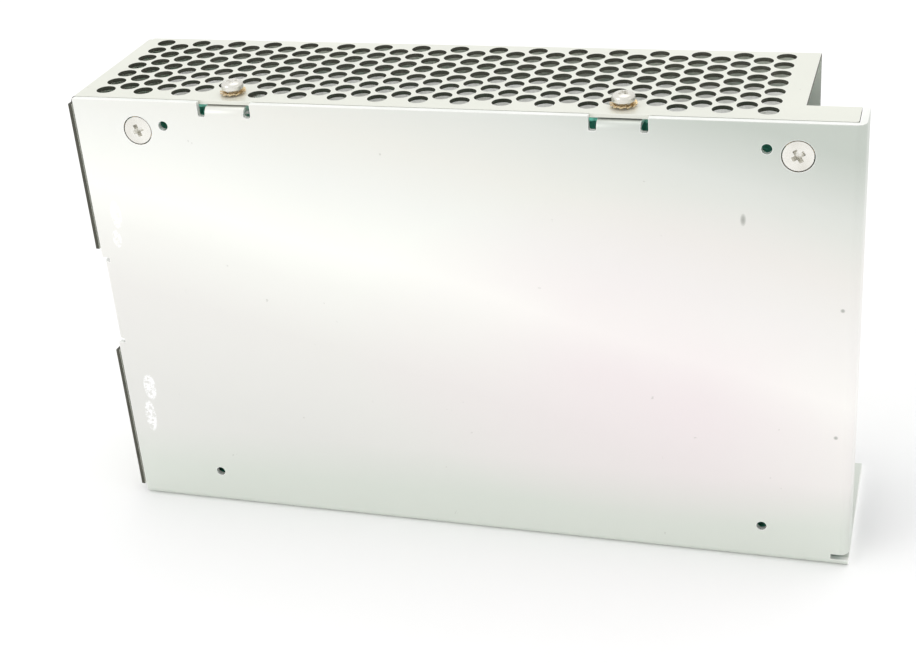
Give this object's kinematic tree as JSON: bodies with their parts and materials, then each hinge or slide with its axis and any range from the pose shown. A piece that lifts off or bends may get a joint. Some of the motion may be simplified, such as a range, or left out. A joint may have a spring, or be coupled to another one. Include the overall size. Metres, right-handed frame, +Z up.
{
  "type": "din rail power supply",
  "caption": "Enclosed sheet-metal switching power supply with a perforated cover, flat mounting plate, barrier terminals and a hinged clear terminal flap.",
  "frame": {"origin": "middle of the underside of the long narrow wall that the case stands on", "axes": "+X along the case towards the terminal end, +Y from the mounting plate towards the far panel, +Z up to the perforated wall"},
  "size_m": [0.16, 0.041, 0.0998],
  "materials": {
    "zinc_plate": "clear chromated zinc on smooth sheet steel, faint pink and green iridescence",
    "coated_steel": "pale cream pre-coated steel, satin",
    "plated_screw": "bright plated steel",
    "gilt_brass": "yellow passivated",
    "tinned_plate": "tin plated, satin",
    "aluminium": "mill finish",
    "board_green": "solder resist, satin",
    "insulation_sheet": "translucent film, satin",
    "terminal_black": "moulded, fine grain",
    "device_black": "moulded epoxy",
    "ferrite": "sintered, dull",
    "winding_tape": "polyester tape",
    "enamelled_copper": "enamelled wire",
    "capacitor_sleeve": "shrink sleeve",
    "film_yellow": "moulded box",
    "fuse_glass": "clear",
    "thermistor_green": "dipped lacquer",
    "trimmer_blue": "moulded",
    "lamp_green": "tinted lens",
    "clear_plastic": "clear moulded"
  },
  "bodies": {
    "case": {"board_screw_left": "plated_screw", "board_screw_right": "plated_screw", "board_standoff_left": "gilt_brass", "board_standoff_right": "gilt_brass", "bridge_rectifier": "device_black", "bulk_capacitor_1": "capacitor_sleeve", "bulk_capacitor_2": "capacitor_sleeve", "chassis": "zinc_plate", "circuit_board": "board_green", "cover": "coated_steel", "cover_screw_left": "plated_screw", "cover_screw_right": "plated_screw", "cover_washer_left": "gilt_brass", "cover_washer_right": "gilt_brass", "film_capacitor": "film_yellow", "filter_choke_core": "ferrite", "filter_choke_winding": "enamelled_copper", "fuse": "fuse_glass", "fuse_clip_1": "gilt_brass", "fuse_clip_2": "gilt_brass", "heat_sink_bar": "aluminium", "heat_sink_nut_left": "plated_screw", "heat_sink_nut_right": "plated_screw", "heat_sink_screw_left": "plated_screw", "heat_sink_screw_right": "plated_screw", "heat_sink_spacer_left": "gilt_brass", "heat_sink_spacer_right": "gilt_brass", "indicator_lamp": "lamp_green", "inrush_thermistor": "thermistor_green", "insulation_sheet": "insulation_sheet", "output_capacitor_1": "capacitor_sleeve", "output_capacitor_2": "capacitor_sleeve", "output_capacitor_3": "capacitor_sleeve", "output_choke": "enamelled_copper", "output_diode": "device_black", "rear_cover_screw_left": "plated_screw", "rear_cover_screw_right": "plated_screw", "switching_transistor": "device_black", "terminal_block": "terminal_black", "terminal_plate_1": "tinned_plate", "terminal_plate_2": "tinned_plate", "terminal_plate_3": "tinned_plate", "terminal_plate_4": "tinned_plate", "terminal_plate_5": "tinned_plate", "terminal_plate_6": "tinned_plate", "terminal_plate_7": "tinned_plate", "terminal_screw_1": "plated_screw", "terminal_screw_2": "plated_screw", "terminal_screw_3": "plated_screw", "terminal_screw_4": "plated_screw", "terminal_screw_5": "plated_screw", "terminal_screw_6": "plated_screw", "terminal_screw_7": "plated_screw", "transformer_core": "ferrite", "transformer_winding": "winding_tape", "trimmer_body": "trimmer_blue"},
    "terminal_flap": {"terminal_cover": "clear_plastic"},
    "trimmer": {"trimmer_rotor": "plated_screw"}
  },
  "joints": [
    {"name": "terminal_flap_hinge", "type": "hinge", "parent": "case", "child": "terminal_flap", "pos_m": [0.0704, 0.0098, 0.044], "axis": [0, 0, 1], "range_deg": [0, 90]},
    {"name": "trimmer_turn", "type": "hinge", "parent": "case", "child": "trimmer", "pos_m": [0.0626, -0.007, 0.0829], "axis": [0, 1, 0], "range_deg": [-130, 130]}
  ]
}
